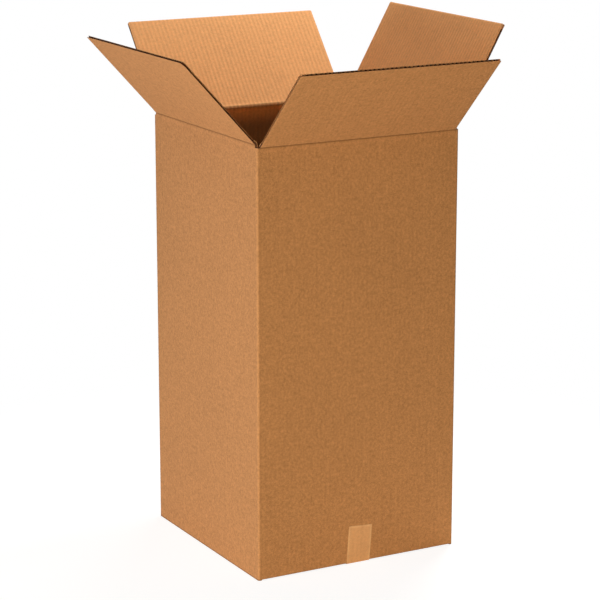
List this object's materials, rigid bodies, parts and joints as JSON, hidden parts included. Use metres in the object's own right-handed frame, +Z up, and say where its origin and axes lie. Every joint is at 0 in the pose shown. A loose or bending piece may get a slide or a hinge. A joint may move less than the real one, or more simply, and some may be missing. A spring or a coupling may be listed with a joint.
{
  "type": "open cardboard box",
  "caption": "Tall square shipping carton of corrugated board, bottom taped shut, top flaps standing open and hinged at their scores.",
  "frame": {"origin": "on the floor, in the middle of the footprint of the box", "axes": "+Z up, along the height of the box; -Y is the front wall, with the inner pair of flaps at front and back; +X to the right"},
  "size_m": [0.6553, 0.6924, 0.9836],
  "materials": {
    "kraft_board": "matt unbleached kraft paper board",
    "carton_tape": "tan carton tape, slightly satin"
  },
  "bodies": {
    "carton": {"box_body": "kraft_board", "sealing_tape": "carton_tape"},
    "front_flap": {"front_flap": "kraft_board"},
    "back_flap": {"back_flap": "kraft_board"},
    "left_flap": {"left_flap": "kraft_board"},
    "right_flap": {"right_flap": "kraft_board"}
  },
  "joints": [
    {"name": "front_flap_fold", "type": "hinge", "parent": "carton", "child": "front_flap", "pos_m": [0, -0.2075, 0.798], "axis": [-1, 0, 0], "range_deg": [-104.5, 135.5]},
    {"name": "back_flap_fold", "type": "hinge", "parent": "carton", "child": "back_flap", "pos_m": [0, 0.2075, 0.798], "axis": [1, 0, 0], "range_deg": [-110.5, 129.5]},
    {"name": "left_flap_fold", "type": "hinge", "parent": "carton", "child": "left_flap", "pos_m": [-0.2075, 0, 0.8031], "axis": [0, 1, 0], "range_deg": [-107.5, 132.5]},
    {"name": "right_flap_fold", "type": "hinge", "parent": "carton", "child": "right_flap", "pos_m": [0.2075, 0, 0.8031], "axis": [0, -1, 0], "range_deg": [-120.5, 119.5]}
  ]
}
